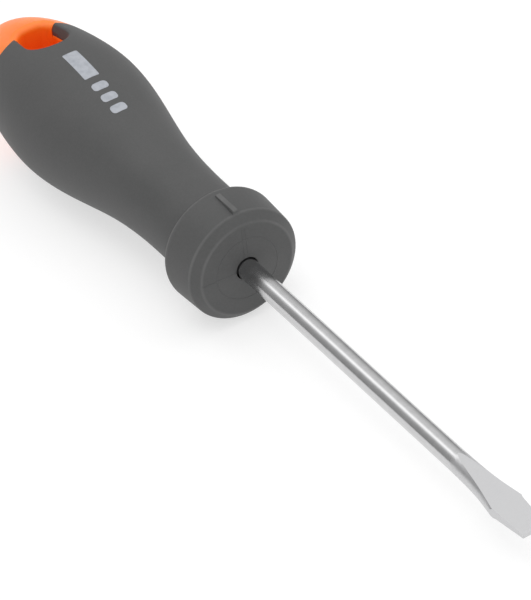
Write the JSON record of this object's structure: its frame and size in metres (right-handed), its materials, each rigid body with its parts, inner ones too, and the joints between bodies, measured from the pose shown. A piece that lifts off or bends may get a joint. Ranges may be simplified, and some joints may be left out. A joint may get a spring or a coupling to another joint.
{
  "type": "slotted screwdriver",
  "caption": "Slotted screwdriver with a round steel blade, a flared and ground flat tip, and a soft-gripped bulbous handle with a collar and a hanging hole in its hard butt.",
  "frame": {"origin": "middle of the blade's end face, on the tool's axis", "axes": "+X along the axis, out of the tip, with the handle towards -X; +Z square to the ground flats, through the hanging hole and the collar's rib; +Y across the tip's width"},
  "size_m": [0.2173, 0.034, 0.034],
  "materials": {
    "blade_steel": "satin plated tool steel, bare and finely ground on the tip",
    "core_plastic": "satin moulded polypropylene, orange",
    "grip_rubber": "matt moulded thermoplastic rubber, dark grey"
  },
  "bodies": {
    "root": {"blade": "blade_steel", "handle_core": "core_plastic", "grip": "grip_rubber"}
  },
  "joints": []
}
